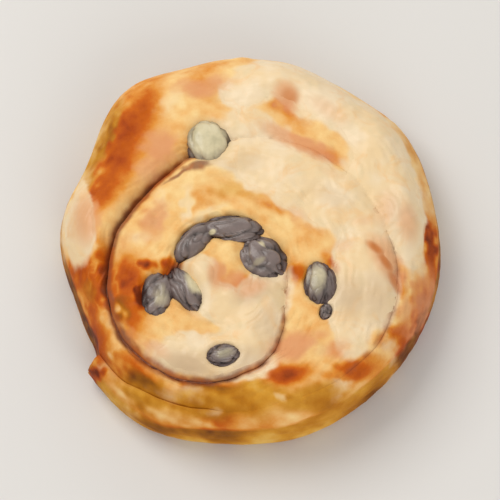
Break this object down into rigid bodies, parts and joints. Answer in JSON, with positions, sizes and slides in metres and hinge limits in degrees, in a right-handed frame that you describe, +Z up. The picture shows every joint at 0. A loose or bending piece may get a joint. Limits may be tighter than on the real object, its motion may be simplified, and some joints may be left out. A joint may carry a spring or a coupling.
{
  "type": "pain aux raisins",
  "caption": "Round coiled pastry bun: a spiral strip of browned dough with filling in its seam, raisins set in the top and pale sugar icing poured over it.",
  "frame": {"origin": "on the ground, under the middle of the bun's box", "axes": "+Z up out of the iced top, +X to the right and +Y away from the viewer as the bun lies in the picture, with its loose end at the lower left"},
  "size_m": [0.0946, 0.101, 0.0269],
  "materials": {
    "crust": "browned laminated dough, satin with glossy glazed parts",
    "filling": "dark baked raisin and cinnamon paste, slightly moist",
    "raisin": "wrinkled dark skin under a thin film of sugar glaze",
    "icing": "cream-coloured set sugar icing, glossy and slightly translucent"
  },
  "bodies": {
    "root": {"dough": "crust", "filling": "filling", "raisin_arc_left": "raisin", "raisin_arc_middle": "raisin", "raisin_arc_right": "raisin", "raisin_left": "raisin", "raisin_heart": "raisin", "raisin_right": "raisin", "raisin_bit": "raisin", "raisin_top": "raisin", "raisin_bottom": "raisin", "icing_turns": "icing", "icing_heart": "icing", "icing_edge": "icing"}
  },
  "joints": []
}
